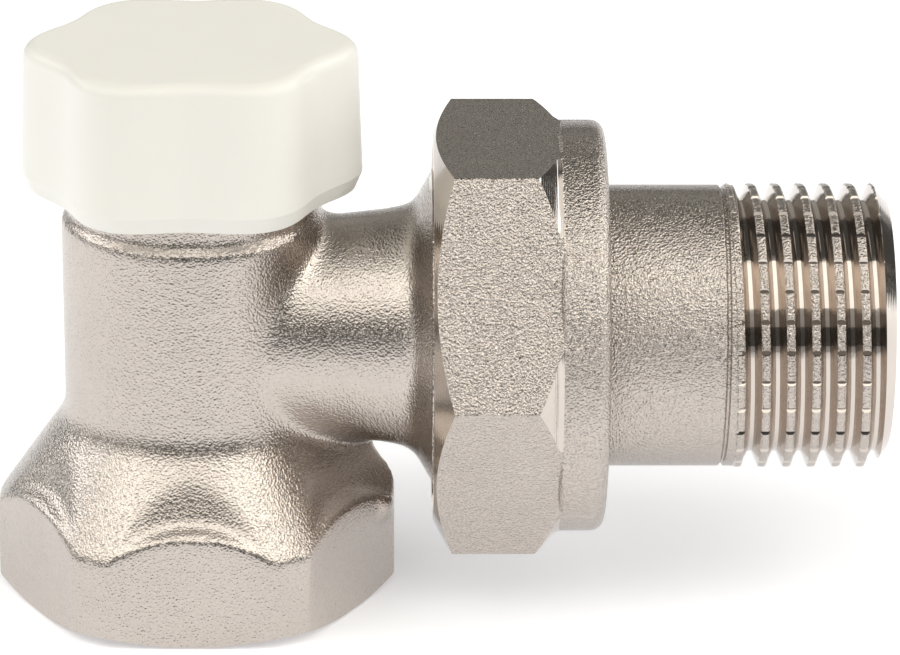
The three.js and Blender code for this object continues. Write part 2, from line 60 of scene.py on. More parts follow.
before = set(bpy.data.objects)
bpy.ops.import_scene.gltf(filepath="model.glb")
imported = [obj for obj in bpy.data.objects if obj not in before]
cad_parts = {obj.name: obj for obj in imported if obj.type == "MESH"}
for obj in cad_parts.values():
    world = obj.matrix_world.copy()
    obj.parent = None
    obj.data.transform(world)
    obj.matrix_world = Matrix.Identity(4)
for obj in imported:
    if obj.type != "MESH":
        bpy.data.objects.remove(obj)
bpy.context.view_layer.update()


# ---- measures from the frame --------------------------------------------------------------


def upright(node):
    """Radius, bottom and top in millimetres of a piece turned about the barrel axis."""
    low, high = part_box(node)
    return high.x / MM, low.z / MM, high.z / MM


def lying(node):
    """Radius, start and end in millimetres of a piece turned about the branch axis."""
    low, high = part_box(node)
    return (high.z - low.z) / 2 / MM, low.x / MM, high.x / MM


def branch_height():
    low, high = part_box("union_tail")
    return (low.z + high.z) / 2 / MM


# ---- properties ---------------------------------------------------------------------------


def length(name, description, millimetres):
    return bpy.props.FloatProperty(
        name=name,
        description=description,
        default=millimetres * MM,
        min=0.0,
        precision=5,
        unit="LENGTH",
    )


def colour(name, description, value):
    return bpy.props.FloatVectorProperty(
        name=name,
        description=description,
        default=value,
        min=0.0,
        max=1.0,
        size=3,
        subtype="COLOR",
    )


class ValveBodySizes(bpy.types.PropertyGroup):
    hex_flats: length("Hexagon flats", "Width across the flats of the inlet hexagon", 27)
    hex_corner: length("Corner reach", "From the axis to a cut corner of the hexagon", 14.8)
    corner_top: length("Corner height", "Height of the hexagon at its corners", 6.45)
    end_radius: length("End edge", "Radius of the turned edge of the inlet face", 13.6)
    shoulder_top: length("Shoulder top", "Height where the shoulder meets the barrel", 13.9)
    hollow_reach: length("Hollow reach", "From the axis to the foot of each hollow", 12.5)
    hollow_foot: length("Hollow foot", "Height of the ledge at the foot of each hollow", 8.75)
    hollow_arch: length("Hollow arch", "Radius of the arch that the ledge follows", 10.2)
    hollow_tilt: bpy.props.FloatProperty(
        name="Hollow tilt",
        description="How far the face of each hollow leans back",
        default=math.radians(25),
        subtype="ANGLE",
    )
    barrel_radius: length("Barrel radius", "Outer radius of the barrel", 9.65)
    barrel_top: length("Barrel top", "Height of the rim of the barrel", 28.9)
    neck_radius: length("Neck radius", "Outer radius of the neck under the cap", 9.1)
    branch_radius: length("Branch radius", "Outer radius of the branch by the barrel", 8.25)
    flare_radius: length("Flare radius", "Outer radius of the branch by the nut", 12.3)
    grain: length("Forging grain", "Size of the mesh that rounds the forged edges", 0.28)


class UnionSizes(bpy.types.PropertyGroup):
    nut_flats: length("Nut flats", "Width across the flats of the union nut", 29.5)
    collar_radius: length("Collar radius", "Radius of the round end of the nut", 15.2)
    tail_radius: length("Tail radius", "Radius of the plain part of the tail", 10.4)
    tail_bore: length("Tail bore", "Radius of the bore through the tail", 7.75)
    crest_notches: bpy.props.IntProperty(
        name="Crest notches",
        description="How many small notches stand round each crest of the tail's thread",
        default=29,
        min=0,
        max=60,
    )


class CapSizes(bpy.types.PropertyGroup):
    mean_radius: length("Mean radius", "Mean radius of the cap's outline", 11.7)
    lobe_depth: length("Lobe depth", "How far the lobes stand out of the mean outline", 0.7)
    edge: length("Top edge", "Rounding of the edge of the top", 1.0)
    foot: length("Foot bevel", "Height of the bevelled foot of the cap", 1.15)
    lobes: bpy.props.IntProperty(
        name="Lobes",
        description="Number of lobes round the cap",
        default=6,
        min=3,
        max=12,
    )


class ValveFinishes(bpy.types.PropertyGroup):
    nickel: colour("Nickel", "Colour of the nickel plating", (0.545, 0.495, 0.455))
    brass: colour("Brass", "Colour of the bare brass", (0.78, 0.60, 0.30))
    plastic: colour("Cap plastic", "Colour of the cap", (0.855, 0.845, 0.80))
    rubber: colour("Rubber", "Colour of the seals", (0.018, 0.018, 0.02))
    floor: colour("Floor", "Colour of the floor", (0.92, 0.93, 0.96))


# ---- modelling steps ----------------------------------------------------------------------


def deselect():
    if bpy.context.mode != "OBJECT":
        bpy.ops.object.mode_set(mode="OBJECT")
    bpy.ops.object.select_all(action="DESELECT")


def edit_all():
    """Opens the picked piece for editing with all of it selected."""
    bpy.ops.object.mode_set(mode="EDIT")
    bpy.ops.mesh.select_all(action="SELECT")


def pick(piece):
    deselect()
    piece.select_set(True)
    bpy.context.view_layer.objects.active = piece


def set_in_place(piece):
    pick(piece)
    bpy.ops.object.transform_apply(location=True, rotation=True, scale=True)


def drawn(name, points, closed=False):
    """A line drawn through the points by extruding one vertex."""
    deselect()
    bpy.ops.mesh.primitive_plane_add(size=1, location=points[0])
    piece = bpy.context.object
    piece.name = name
    edit_all()
    bpy.ops.mesh.merge(type="CENTER")
    last = Vector(points[0])
    for point in points[1:]:
        step = Vector(point) - last
        bpy.ops.mesh.extrude_vertices_move(TRANSFORM_OT_translate={"value": step})
        last = Vector(point)
    if closed:
        bpy.ops.mesh.select_all(action="SELECT")
        bpy.ops.mesh.remove_doubles(threshold=0.001)
    set_in_place(piece)
    return piece


def softened(outline, pieces=4):
    """The outline with an arc at each corner given as (radius, height, rounding)."""
    result = []
    count = len(outline)
    for i, corner in enumerate(outline):
        here = Vector(corner[:2])
        rounding = corner[2] if len(corner) > 2 else 0
        if not rounding or i in (0, count - 1):
            result.append((here.x, here.y))
            continue
        back = Vector(outline[i - 1][:2]) - here
        ahead = Vector(outline[i + 1][:2]) - here
        half = back.angle(ahead) / 2
        reach = min(rounding / math.tan(half), back.length * 0.48, ahead.length * 0.48)
        radius = reach * math.tan(half)
        middle = (back.normalized() + ahead.normalized()).normalized()
        centre = here + middle * (radius / math.sin(half))
        first = here + back.normalized() * reach - centre
        sweep = first.angle_signed(here + ahead.normalized() * reach - centre)
        for k in range(pieces + 1):
            angle = -sweep * k / pieces
            x = first.x * math.cos(angle) - first.y * math.sin(angle)
            y = first.x * math.sin(angle) + first.y * math.cos(angle)
            result.append((centre.x + x, centre.y + y))
    return result


def clean(piece, gap=0.002):
    pick(piece)
    edit_all()
    bpy.ops.mesh.remove_doubles(threshold=gap)
    bpy.ops.mesh.normals_make_consistent(inside=False)
    bpy.ops.object.mode_set(mode="OBJECT")


def turned(name, outline, steps=128):
    """A piece spun about Z from its outline, a list of (radius, height, rounding)."""
    points = [(radius, 0, height) for radius, height in softened(outline)]
    piece = drawn(name, points)
    pick(piece)
    edit_all()
    bpy.ops.mesh.spin(steps=steps, angle=TURN, center=(0, 0, 0), axis=(0, 0, 1))
    clean(piece)
    return piece


def prism(name, sides, flats, bottom, top, turn=0.0):
    """A regular prism about Z, given its width across flats."""
    deselect()
    bpy.ops.mesh.primitive_cylinder_add(
        vertices=sides,
        radius=flats / 2 / math.cos(math.pi / sides),
        depth=top - bottom,
        location=(0, 0, (bottom + top) / 2),
        rotation=(0, 0, turn),
    )
    piece = bpy.context.object
    piece.name = name
    set_in_place(piece)
    return piece


def block(name, low, high):
    deselect()
    middle = (Vector(low) + Vector(high)) / 2
    bpy.ops.mesh.primitive_cube_add(size=1, location=middle, scale=Vector(high) - Vector(low))
    piece = bpy.context.object
    piece.name = name
    set_in_place(piece)
    return piece


def modify(piece, kind, **settings):
    """Adds a modifier with these settings to the picked piece, and applies it."""
    bpy.ops.object.modifier_add(type=kind)
    modifier = piece.modifiers[-1]
    for name, value in settings.items():
        setattr(modifier, name, value)
    bpy.ops.object.modifier_apply(modifier=modifier.name)


def combine(piece, tool, operation):
    """Joins, cuts or meets a piece with a tool, which is used up."""
    before = len(piece.data.vertices)
    pick(piece)
    modify(piece, "BOOLEAN", operation=operation, object=tool, solver="MANIFOLD")
    after = len(piece.data.vertices)
    if after == 0 or (after == before and operation != "INTERSECT"):
        raise RuntimeError(f"{piece.name}: {operation.lower()} with {tool.name} changed nothing")
    bpy.data.objects.remove(tool)


def cut(piece, tool):
    combine(piece, tool, "DIFFERENCE")


def join(piece, tool):
    combine(piece, tool, "UNION")


def meet(piece, tool):
    combine(piece, tool, "INTERSECT")


def cut_turned(piece, name, outline, steps=128):
    """Cuts away what the outline takes out when it is spun about Z."""
    cut(piece, turned(name, outline, steps))


def cut_turned_along_branch(piece, name, outline, steps=128):
    cut(piece, lay_along_branch(turned(name, outline, steps)))


def bevel_edges(piece, test, offset, segments):
    """Rounds the edges whose two ends pass the test."""
    pick(piece)
    for edge in piece.data.edges:
        edge.select = test(*(piece.data.vertices[v].co for v in edge.vertices))
    bpy.ops.object.mode_set(mode="EDIT")
    bpy.ops.mesh.select_mode(type="EDGE")
    bpy.ops.mesh.bevel(offset=offset, segments=segments, affect="EDGES")
    bpy.ops.mesh.select_mode(type="VERT")
    bpy.ops.object.mode_set(mode="OBJECT")


def give_finish(piece, material):
    piece.data.materials.clear()
    piece.data.materials.append(material)


def copied(piece, name, angle):
    """A copy with a mesh of its own, turned about Z."""
    pick(piece)
    bpy.ops.object.duplicate(linked=False)
    twin = bpy.context.object
    twin.name = name
    twin.rotation_euler = (0, 0, angle)
    set_in_place(twin)
    return twin


def lay_along_branch(piece):
    """Turns a piece drawn about Z on to the branch axis."""
    piece.rotation_euler = (0, math.pi / 2, 0)
    piece.location = (0, 0, branch_height())
    set_in_place(piece)
    return piece


def coil(name, thread, crest, low, high, extra=0.0, steps=96):
    """The ridge of a right-hand thread about Z, with a crest at height `crest` on +X."""
    pitch = thread["pitch"]
    top = thread["major"] + extra
    foot = thread["minor"] + extra - 0.12
    crest_half = thread["flat"] * pitch / 2 + extra * 0.4
    root_half = (1 - thread["root"]) * pitch / 2 + extra * 0.2
    soft = 0.09
    before = math.ceil((crest - low) / pitch) + 1
    turns = before + math.ceil((high - crest) / pitch) + 1
    base = crest - before * pitch
    section = [
        (foot, 0, base - root_half), (top - soft, 0, base - crest_half - soft / 3),
        (top, 0, base - crest_half + soft), (top, 0, base + crest_half - soft),
        (top - soft, 0, base + crest_half + soft / 3), (foot, 0, base + root_half),
        (foot, 0, base - root_half),
    ]
    piece = drawn(name, section, closed=True)
    screw = {"axis": "Z", "screw_offset": pitch, "iterations": turns}
    modify(piece, "SCREW", **screw, steps=steps, render_steps=steps)
    edit_all()
    bpy.ops.mesh.fill_holes(sides=0)
    bpy.ops.mesh.select_all(action="SELECT")
    bpy.ops.mesh.normals_make_consistent(inside=False)
    bpy.ops.object.mode_set(mode="OBJECT")
    return piece


def male_thread(name, thread, crest, low, high, steps=96):
    """A threaded length of rod with a chamfer at both ends."""
    core = turned(
        name + "_core",
        [(0, low - 1), (thread["minor"], low - 1), (thread["minor"], high + 1), (0, high + 1)],
        steps,
    )
    join(core, coil(name + "_coil", thread, crest, low, high, steps=steps))
    reach = thread["major"] - thread["minor"] + 0.3
    outer = thread["major"] + 0.2
    envelope = turned(
        name + "_envelope",
        [
            (0, low), (outer - reach * 0.3, low), (outer, low + reach * 0.3),
            (outer, high - reach * 0.8), (outer - reach, high), (0, high),
        ],
        steps,
    )
    meet(core, envelope)
    return core


def cut_female_thread(piece, thread, crest, low, high, along_branch=False, steps=96):
    """Cuts the bore and the grooves of an internal thread."""
    bore = thread["minor"] + 0.12
    core = turned("thread_bore", [(0, low), (bore, low), (bore, high), (0, high)], steps)
    groove = coil("thread_groove", thread, crest, low, high, extra=0.12, steps=steps)
    limit = thread["major"] + 2
    meet(groove, turned("thread_limit", [(0, low), (limit, low), (limit, high), (0, high)]))
    join(core, groove)
    if along_branch:
        lay_along_branch(core)
    cut(piece, core)


def forged(piece, grain, passes):
    """Rounds every edge as a forging die and the blasting after it do."""
    pick(piece)
    modify(piece, "REMESH", mode="VOXEL", voxel_size=grain)
    modify(piece, "SMOOTH", factor=0.5, iterations=passes)


def finish_faces(piece, material, test):
    """Gives a finish to the faces whose middle and normal pass the test."""
    if material.name not in piece.data.materials:
        piece.data.materials.append(material)
    index = piece.data.materials.find(material.name)
    for face in piece.data.polygons:
        if test(face.center, face.normal):
            face.material_index = index


def even_shading(piece):
    """Keeps flat faces flat beside their narrow rounded edges."""
    pick(piece)
    modify(piece, "WEIGHTED_NORMAL", keep_sharp=True)


def hand_over(piece, body, node, material=None, edge=35):
    """Brings a finished piece to metres and puts it on its body in place of its CAD node."""
    if material is not None:
        give_finish(piece, material)
    piece.scale = (MM, MM, MM)
    set_in_place(piece)
    bpy.ops.object.shade_smooth_by_angle(angle=math.radians(edge))
    even_shading(piece)
    piece.name = node + "_finished"
    piece.data.name = piece.name
    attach(piece, body)
    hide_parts(node)


# ---- threads ------------------------------------------------------------------------------

HALF_INCH = {"major": 20.955 / 2, "minor": 18.631 / 2, "pitch": 1.814, "flat": 0.3, "root": 0.1}
UNION_THREAD = {
    "major": 26.441 / 2, "minor": 24.117 / 2, "pitch": 1.814, "flat": 0.2, "root": 0.12
}
CAP_THREAD = {"major": 8.0, "minor": 7.1, "pitch": 1.5, "flat": 0.16, "root": 0.14}
SPINDLE_THREAD = {"major": 4.5, "minor": 3.9, "pitch": 1.0, "flat": 0.16, "root": 0.14}


# ---- materials ----------------------------------------------------------------------------


class Nodes:
    """A material's node tree, with a short call for each node that the finishes use."""

    def __init__(self, name):
        self.material = bpy.data.materials.get(name) or bpy.data.materials.new(name)
        self.material.use_nodes = True
        self.tree = self.material.node_tree
        self.tree.nodes.clear()
        self.shader = self.add("ShaderNodeBsdfPrincipled")
        output = self.add("ShaderNodeOutputMaterial")
        self.link(self.shader.outputs["BSDF"], output.inputs["Surface"])
        self.place = self.add("ShaderNodeTexCoord").outputs["Object"]

    def add(self, kind):
        return self.tree.nodes.new(kind)

    def link(self, start, end):
        self.tree.links.new(start, end)

    def noise(self, size, detail=2.0, place=None):
        """Noise whose features are about `size` metres across."""
        node = self.add("ShaderNodeTexNoise")
        node.inputs["Scale"].default_value = 1 / size
        node.inputs["Detail"].default_value = detail
        self.link(place or self.place, node.inputs["Vector"])
        return node.outputs["Fac"]

    def cells(self, size):
        """Overlapping round dimples about `size` metres across."""
        node = self.add("ShaderNodeTexVoronoi")
        node.feature = "SMOOTH_F1"
        node.inputs["Scale"].default_value = 1 / size
        node.inputs["Smoothness"].default_value = 0.3
        self.link(self.place, node.inputs["Vector"])
        return node.outputs["Distance"]

    def ramp(self, value, start, end, low, high):
        node = self.add("ShaderNodeMapRange")
        node.inputs["From Min"].default_value = start
        node.inputs["From Max"].default_value = end
        node.inputs["To Min"].default_value = low
        node.inputs["To Max"].default_value = high
        self.link(value, node.inputs["Value"])
        return node.outputs["Result"]

    def mix(self, value, first, second):
        node = self.add("ShaderNodeMix")
        node.data_type = "RGBA"
        node.inputs["A"].default_value = (*first, 1)
        node.inputs["B"].default_value = (*second, 1)
        self.link(value, node.inputs["Factor"])
        return node.outputs["Result"]

    def times(self, first, second):
        node = self.add("ShaderNodeMix")
        node.data_type = "RGBA"
        node.blend_type = "MULTIPLY"
        node.inputs["Factor"].default_value = 1
        self.link(first, node.inputs["A"])
        self.link(second, node.inputs["B"])
        return node.outputs["Result"]

    def bump(self, height, depth, strength=1.0, before=None):
        node = self.add("ShaderNodeBump")
        node.inputs["Distance"].default_value = depth
        node.inputs["Strength"].default_value = strength
        self.link(height, node.inputs["Height"])
        if before is not None:
            self.link(before, node.inputs["Normal"])
        return node.outputs["Normal"]

    def lines(self, axis, spacing, distortion=0.6):
        """Fine parallel tool marks square to an axis."""
        node = self.add("ShaderNodeTexWave")
        node.wave_type = "BANDS"
        node.bands_direction = axis
        node.inputs["Scale"].default_value = TURN / 20 / spacing
        node.inputs["Distortion"].default_value = distortion
        node.inputs["Detail"].default_value = 2
        self.link(self.place, node.inputs["Vector"])
        return node.outputs["Fac"]


def shaded(base, factor):
    return tuple(min(1.0, channel * factor) for channel in base)


def blasted_nickel(name, base, depth):
    """Forged brass, blasted and nickel plated: a fine, sparkling dimpled skin, with painted shade
    in the low spots of its grain.
    """
    n = Nodes(name)
    n.shader.inputs["Metallic"].default_value = 1
    tone = n.noise(0.0045, 3)
    dimples = n.cells(0.00021)
    fine = n.noise(0.00013, 1.5)
    # painted shade: the colour darkens where the fine grain is low, and more so the deeper the
    # grain
    pit_shade_colour = (1 - depth * 2400,) * 3
    painted_pit_shade = n.mix(n.ramp(fine, 0.36, 0.6, 0.0, 1.0), pit_shade_colour, (1, 1, 1))
    plating = n.mix(tone, shaded(base, 0.97), shaded(base, 1.09))
    n.link(n.times(plating, painted_pit_shade), n.shader.inputs["Base Color"])
    n.link(n.ramp(fine, 0.35, 0.65, 0.12, 0.2), n.shader.inputs["Roughness"])
    coarse = n.bump(dimples, depth * 0.7, 1.0)
    n.link(n.bump(fine, depth, 1.0, coarse), n.shader.inputs["Normal"])
    return n.material


def machined_metal(name, base, axis, roughness):
    """Metal straight from the lathe, with tool marks square to its axis."""
    n = Nodes(name)
    n.shader.inputs["Metallic"].default_value = 1
    tone = n.noise(0.003, 2)
    n.link(n.mix(tone, shaded(base, 0.95), shaded(base, 1.04)), n.shader.inputs["Base Color"])
    marks = n.lines(axis, 0.00014)
    smear = n.noise(0.0009, 2)
    gloss = n.ramp(smear, 0.3, 0.7, roughness * 0.8, roughness * 1.4)
    n.link(gloss, n.shader.inputs["Roughness"])
    n.link(n.bump(marks, 0.000004, 0.5), n.shader.inputs["Normal"])
    return n.material


def moulded_plastic(name, base):
    """Off-white moulded plastic with a faint satin grain."""
    n = Nodes(name)
    n.shader.inputs["Subsurface Weight"].default_value = 0.12
    n.shader.inputs["Subsurface Scale"].default_value = 0.0015
    n.shader.inputs["Subsurface Radius"].default_value = (1.0, 0.9, 0.75)
    n.shader.inputs["IOR"].default_value = 1.5
    cloud = n.noise(0.006, 3)
    n.link(n.mix(cloud, shaded(base, 0.985), shaded(base, 1.01)), n.shader.inputs["Base Color"])
    n.link(n.ramp(cloud, 0.3, 0.7, 0.30, 0.40), n.shader.inputs["Roughness"])
    skin = n.noise(0.0004, 2)
    n.link(n.bump(skin, 0.000006, 0.4), n.shader.inputs["Normal"])
    return n.material


def rubber(name, base):
    """Moulded sealing rubber with a dusting of talc."""
    n = Nodes(name)
    dust = n.noise(0.0011, 4)
    n.link(n.mix(dust, base, tuple(c + 0.022 for c in base)), n.shader.inputs["Base Color"])
    n.link(n.ramp(dust, 0.3, 0.7, 0.5, 0.72), n.shader.inputs["Roughness"])
    n.link(n.bump(n.noise(0.00018, 2), 0.00001, 0.5), n.shader.inputs["Normal"])
    return n.material


def fluoropolymer(name):
    """Skived white fluoropolymer, waxy and slightly clouded."""
    n = Nodes(name)
    n.shader.inputs["Subsurface Weight"].default_value = 0.2
    n.shader.inputs["Subsurface Scale"].default_value = 0.001
    cloud = n.noise(0.002, 3)
    low, high = (0.83, 0.83, 0.80), (0.90, 0.90, 0.88)
    n.link(n.mix(cloud, low, high), n.shader.inputs["Base Color"])
    n.link(n.ramp(cloud, 0.3, 0.7, 0.35, 0.5), n.shader.inputs["Roughness"])
    n.link(n.bump(n.lines("Z", 0.0001), 0.000004, 0.4), n.shader.inputs["Normal"])
    return n.material


def floor_with_painted_front_shade(base):
    """A pale light table whose colour and glow are painted darker in front, as painted shade of the
    dark studio there.
    """
    n = Nodes("studio_floor")
    split = n.add("ShaderNodeSeparateXYZ")
    n.link(n.place, split.inputs["Vector"])
    # painted shade: colour and glow drop to 0.3 of the floor's towards the camera, giving a dark
    # band for the metal to reflect
    painted_front_shade = n.ramp(split.outputs["Y"], -0.24, -0.12, 0.0, 1.0)
    tone = n.mix(painted_front_shade, shaded(base, 0.3), base)
    n.link(tone, n.shader.inputs["Base Color"])
    n.link(tone, n.shader.inputs["Emission Color"])
    n.shader.inputs["Roughness"].default_value = 0.6
    n.shader.inputs["Emission Strength"].default_value = 0.34
    return n.material


def finishes():
    """Every finish of the valve by name, made once."""
    chosen = bpy.context.scene.valve_finishes
    nickel, brass = tuple(chosen.nickel), tuple(chosen.brass)
    turned_nickel = shaded(nickel, 1.12)
    steel = (0.56, 0.56, 0.57)
    wanted = {
        "blasted": (blasted_nickel, "blasted_nickel", nickel, 0.000042),
        # the deeper grain of the rough finish also paints darker shade into its pits
        "rough": (blasted_nickel, "rough_nickel", nickel, 0.000085),
        "nickel_x": (machined_metal, "turned_nickel_x", turned_nickel, "X", 0.1),
        "nickel_z": (machined_metal, "turned_nickel_z", turned_nickel, "Z", 0.1),
        "brass_z": (machined_metal, "turned_brass_z", brass, "Z", 0.2),
        "steel": (machined_metal, "spring_steel", steel, "Z", 0.16),
        "plastic": (moulded_plastic, "cap_plastic", tuple(chosen.plastic)),
        "rubber": (rubber, "seal_rubber", tuple(chosen.rubber)),
        "fluoropolymer": (fluoropolymer, "seal_fluoropolymer"),
    }
    look = {}
    for key, (make, name, *details) in wanted.items():
        look[key] = bpy.data.materials.get(name) or make(name, *details)
    return look


# ---- body ---------------------------------------------------------------------------------


def body_outline(s):
    """Hexagon foot, shoulder, barrel and neck before anything is machined."""
    foot = turned(
        "forging",
        [
            (0, -1.5), (s.hex_corner / MM + 0.3, -1.5),
            (s.hex_corner / MM + 0.3, s.corner_top / MM - 0.35),
            (s.barrel_radius / MM, s.shoulder_top / MM, 3.0),
            (s.barrel_radius / MM, s.barrel_top / MM, 0.5),
            (s.neck_radius / MM, s.barrel_top / MM + 0.1, 0.3),
            (s.neck_radius / MM, NECK_TOP + 1), (0, NECK_TOP + 1),
        ],
        96,
    )
    meet(foot, prism("flats", 6, s.hex_flats / MM, -2, NECK_TOP + 2, math.pi / 6))
    meet(foot, prism("corners", 6, 2 * s.hex_corner / MM, -2, NECK_TOP + 2))
    return foot


def shoulder_hollow(s, angle):
    """The tool for the hollow over one flat: a sloping face above a ledge that follows the arch."""
    tilt = s.hollow_tilt
    foot = Vector((s.hollow_reach / MM, 0, s.hollow_foot / MM))
    depth, half_width, height, below = 10, 7.5, 7.4, 1.8
    piece = block("hollow", (0, -half_width, -below), (depth, half_width, height - below))
    piece.rotation_euler = (0, -tilt, 0)
    piece.location = foot
    set_in_place(piece)
    arch = s.hollow_arch / MM
    ledge_slope = math.radians(9)
    deselect()
    bpy.ops.mesh.primitive_cylinder_add(
        vertices=192,
        radius=arch,
        depth=24,
        location=foot + Vector((0, 0, -arch)),
        rotation=(0, math.pi / 2 + ledge_slope, 0),
    )
    ledge = bpy.context.object
    ledge.name = "ledge"
    set_in_place(ledge)
    cut(piece, ledge)
    piece.rotation_euler = (0, 0, angle)
    set_in_place(piece)
    return piece


def branch_outline(s):
    """The branch with its flare, up to the root of the union thread."""
    radius, flare = s.branch_radius / MM, s.flare_radius / MM
    piece = turned(
        "branch",
        [
            (0, 0), (radius, 0), (radius, 10.5, 8), (radius + 0.4, 14.2, 6),
            (radius + 0.8, 16.1, 1.4), (flare - 0.3, 17.8, 0.4), (flare, 18.2), (flare, 18.6),
            (0, 18.6),
        ],
        96,
    )
    return lay_along_branch(piece)


def branch_web(s):
    """The web that fills the corner under the branch."""
    low = s.corner_top / MM - 1.5
    corner = s.hex_corner / MM
    piece = block("web", (7, -3.6, low), (corner, 3.6, branch_height() - 7.4))

    def outer_upright(a, b):
        return min(a.x, b.x) > corner - 0.1 and a.y * b.y > 0

    bevel_edges(piece, outer_upright, offset=1.6, segments=4)
    return piece


def blend(piece, near, repeat):
    """Works the surface smooth where the test says that it is near a join."""
    pick(piece)
    for vertex in piece.data.vertices:
        vertex.select = near(vertex.co)
    for edge in piece.data.edges:
        edge.select = False
    for face in piece.data.polygons:
        face.select = False
    bpy.ops.object.mode_set(mode="EDIT")
    bpy.ops.mesh.vertices_smooth(factor=0.5, repeat=repeat)
    bpy.ops.object.mode_set(mode="OBJECT")


def build_body(context):
    s = context.scene.valve_body_sizes
    piece = body_outline(s)
    join(piece, branch_web(s))
    for k in range(6):
        cut(piece, shoulder_hollow(s, TURN * (k + 0.5) / 6))
    join(piece, branch_outline(s))
    forged(piece, s.grain / MM, 7)
    barrel, branch = s.barrel_radius / MM, s.branch_radius / MM
    height = branch_height()

    def barrel_meets_branch(point):
        out = abs(math.hypot(point.x, point.y) - barrel)
        up = abs(math.hypot(point.y, point.z - height) - branch)
        return point.x > 0 and out < 2.2 and up < 2.2

    def web_meets_branch(point):
        up = abs(math.hypot(point.y, point.z - height) - branch)
        return point.x > 9 and point.x < 16.5 and point.z < height - 4 and up < 2.6

    def shoulder_meets_barrel(point):
        out = math.hypot(point.x, point.y)
        return out > barrel - 0.5 and out < barrel + 2.5 and abs(point.z - 13.5) < 2.2

    def on_shoulder(point):
        out = math.hypot(point.x, point.y)
        return out > barrel + 0.6 and out < 13.45 and point.z > 7.6 and point.z < 13

    blend(piece, barrel_meets_branch, 30)
    blend(piece, web_meets_branch, 24)
    blend(piece, shoulder_meets_barrel, 8)
    blend(piece, on_shoulder, 10)
    machine_body(piece, s)
    return piece


def machine_body(piece, s):
    """Faces, bores, threads and the seat, all cut after the forging."""
    end, corner = s.end_radius / MM, s.hex_corner / MM
    height = branch_height()
    facing = [(0, -4), (20, -4), (20, 3.5), (corner + 0.3, 0.75), (end, 0), (0, 0)]
    cut_turned(piece, "facing", facing, 160)
    cut_turned(piece, "topping", [(0, NECK_TOP), (12, NECK_TOP), (12, 36), (0, 36)], 160)
    start = UNION_CREST
    rear = UNION_THREAD["minor"] - 0.4
    thread = turned(
        "branch_end",
        [(0, start - 0.9), (rear, start - 0.9), (rear, 25, 0.3), (0, 25)],
    )
    join(thread, male_thread("branch_thread", UNION_THREAD, start, start + 0.15, 24.8))
    join(piece, lay_along_branch(thread))
    socket_floor = 11.6
    cut_female_thread(piece, HALF_INCH, 0, -1, 10.4)
    cut_turned(piece, "mouth", [(0, -1), (11.9, -1), (9.2, 1.5), (0, 1.5)])
    relief = [(0, 9), (9.3, 9), (10.1, 10), (10.1, 10.8, 0.3), (5.2, socket_floor)]
    cut_turned(piece, "relief", relief + [(5.2, 15), (0, 15)])
    wall = CHAMBER_RADIUS
    trench = [(6.2, 13.6), (wall, 13.6, 0.2), (wall, 14.6), (6.0, 14.6), (6.2, 13.6)]
    cut_turned(piece, "seat_trench", trench)
    cut_turned(piece, "chamber", [(0, 14.4), (wall, 14.4), (wall, 26.5), (0, 26.5)])
    cut_turned(piece, "top_bore", [(0, 26.3), (8, 26.3), (8, 30.6), (8.5, 32), (0, 32)])
    way, seal_bore = WATERWAY_RADIUS, 8.05
    branch_bore = [(0, 0), (way, 0), (way, 21), (seal_bore, 21, 0.2), (seal_bore, 24.6)]
    cut_turned_along_branch(piece, "branch_bore", branch_bore + [(8.6, 25.4), (0, 25.4)])
    look = finishes()
    give_finish(piece, look["blasted"])

    def machined_upright(middle, normal):
        radius = math.hypot(middle.x, middle.y)
        inside = radius < 8.3 and middle.z > 9
        socket = radius < 10.3 and middle.z < 11.8
        mouth = radius < 12 and middle.z < 1.6 and normal.z < -0.2
        return inside or socket or mouth or middle.z > NECK_TOP - 0.02

    def machined_lying(middle, normal):
        radius = math.hypot(middle.y, middle.z - height)
        bore = radius < 8.2 and middle.x > 7
        return middle.x > 18.6 or bore

    def end_face(middle, normal):
        return middle.z < 0.02 or (middle.z < 0.8 and normal.z < -0.6)

    finish_faces(piece, look["nickel_z"], machined_upright)
    finish_faces(piece, look["nickel_x"], machined_lying)
    finish_faces(piece, look["nickel_z"], end_face)


# ---- union --------------------------------------------------------------------------------


